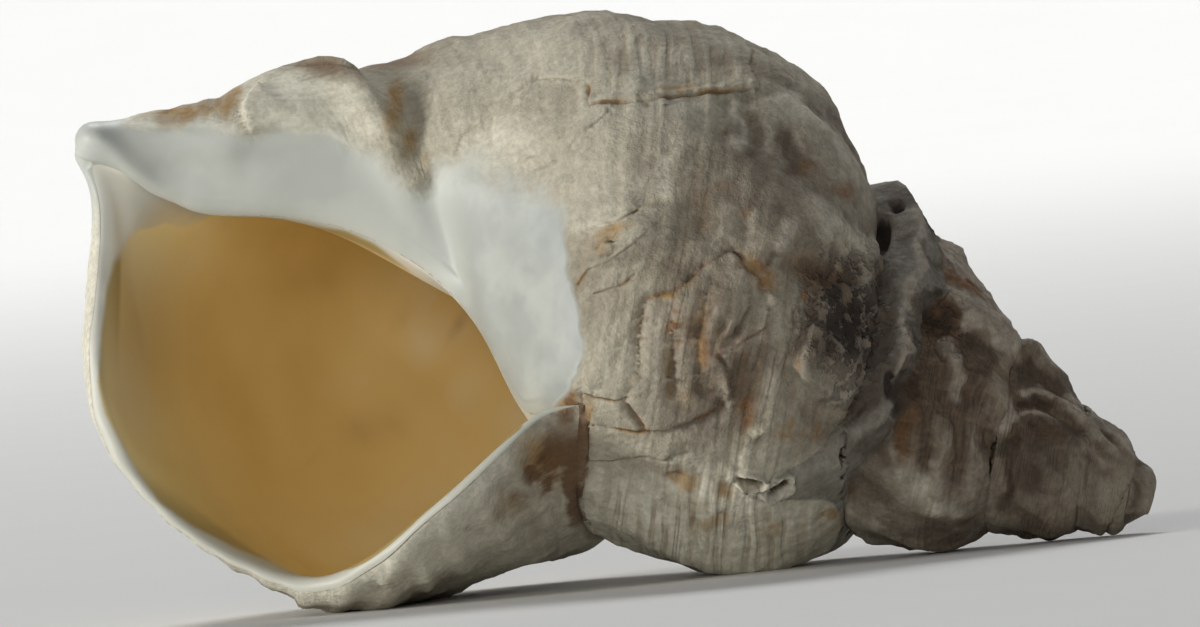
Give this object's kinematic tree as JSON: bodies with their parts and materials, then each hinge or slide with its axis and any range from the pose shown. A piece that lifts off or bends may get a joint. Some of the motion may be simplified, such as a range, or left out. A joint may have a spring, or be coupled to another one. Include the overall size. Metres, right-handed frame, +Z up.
{
  "type": "conch shell",
  "caption": "Weathered whelk shell lying on its side: tapering spire, swollen body whorl, flared open aperture and short siphonal canal.",
  "frame": {"origin": "centre of the bounding box at its base, on the surface that the shell rests on", "axes": "+Z up as the shell rests; +X towards the spire's tip, along the shell's length; the aperture faces -Y"},
  "size_m": [0.0848, 0.0492, 0.046],
  "materials": {
    "weathered_shell": "chalky, pitted cream and grey outside, smooth white glaze on the inner lip, amber brown inside"
  },
  "bodies": {
    "root": {"shell": "weathered_shell"}
  },
  "joints": []
}
